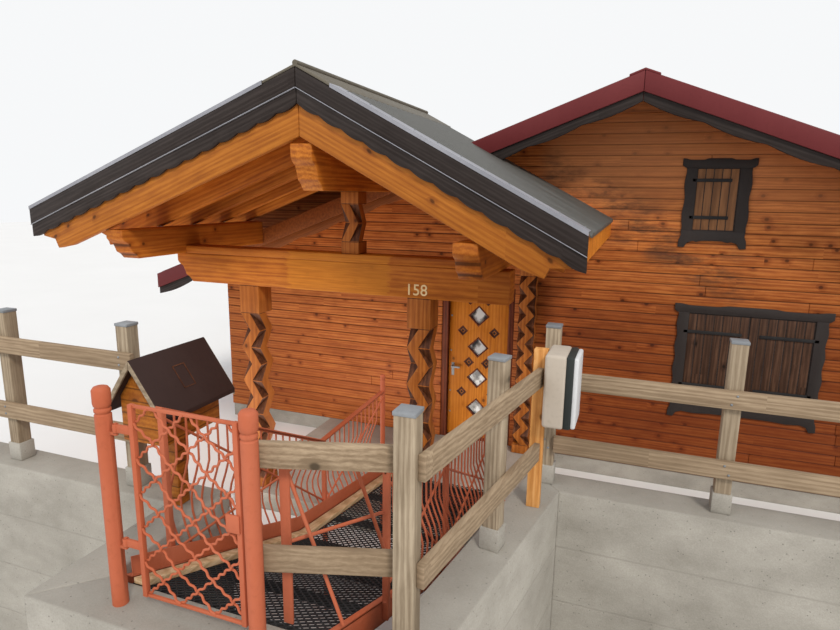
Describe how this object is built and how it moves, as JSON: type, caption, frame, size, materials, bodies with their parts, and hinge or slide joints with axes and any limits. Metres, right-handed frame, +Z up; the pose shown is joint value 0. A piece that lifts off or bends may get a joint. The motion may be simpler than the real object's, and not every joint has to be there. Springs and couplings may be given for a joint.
{
  "type": "alpine chalet",
  "caption": "Low timber chalet with a gabled porch on carved zigzag posts, diamond-pane door, sloping steel gangway, lattice gate and rail fence on a retaining wall.",
  "frame": {"origin": "centre of the bounding box, on the lowest ground that the plinth and the walls stand on", "axes": "+X along the house front to the right, +Y from the street into the house, +Z up"},
  "size_m": [12.8, 15.52, 4.765],
  "materials": {
    "cladding": "orange-brown stained boards, satin",
    "beam_timber": "orange stained beams, satin",
    "dark_timber": "anthracite-brown paint, satin",
    "weathered_timber": "bare weathered softwood",
    "red_sheet": "red-brown painted sheet, satin",
    "grey_sheet": "grey coated sheet, weathered",
    "orange_steel": "salmon-orange paint over steel",
    "parcel_steel": "light grey coated sheet",
    "concrete": "rough cast concrete",
    "pane": "clear pane"
  },
  "bodies": {
    "building": {"plinth": "concrete", "floors": "beam_timber", "front_wall_left": "cladding", "front_wall_right": "cladding", "front_gable": "cladding", "rear_wall": "cladding", "left_wall": "cladding", "right_wall": "cladding", "main_roof_left": "red_sheet", "main_roof_right": "red_sheet", "main_ridge_cap": "red_sheet", "main_verge_boards": "red_sheet", "main_verge_trim": "dark_timber", "window_casings": "dark_timber", "window_shutters": "dark_timber", "door_frame": "beam_timber", "porch_floor": "concrete", "porch_post_left": "beam_timber", "porch_post_right": "beam_timber", "porch_rear_post": "beam_timber", "head_beam": "beam_timber", "head_plate": "beam_timber", "king_post": "beam_timber", "porch_purlins": "beam_timber", "porch_rafters": "beam_timber", "barge_boards": "beam_timber", "porch_roof_left": "grey_sheet", "porch_roof_right": "grey_sheet", "porch_verge_boards": "dark_timber", "porch_ridge_cap": "grey_sheet", "porch_back_gable": "cladding", "retaining_wall": "concrete", "gangway_deck": "orange_steel", "gangway_steps": "orange_steel", "railing_left": "orange_steel", "railing_right": "orange_steel", "gate_posts": "orange_steel", "fence_posts": "weathered_timber", "fence_rails": "weathered_timber", "letterbox_hut": "beam_timber", "letterbox_roof": "dark_timber", "parcel_box": "parcel_steel"},
    "door": {"door_leaf": "beam_timber", "door_glass": "pane"},
    "gate": {"gate_leaf": "orange_steel"}
  },
  "joints": [
    {"name": "door_hinge", "type": "hinge", "parent": "building", "child": "door", "pos_m": [-1.427, -1.852, 1.2], "axis": [0, 0, -1], "range_deg": [0, 90]},
    {"name": "gate_hinge", "type": "hinge", "parent": "building", "child": "gate", "pos_m": [-1.984, -7.63, 2.1], "axis": [0, 0, 1], "range_deg": [0, 85]}
  ]
}
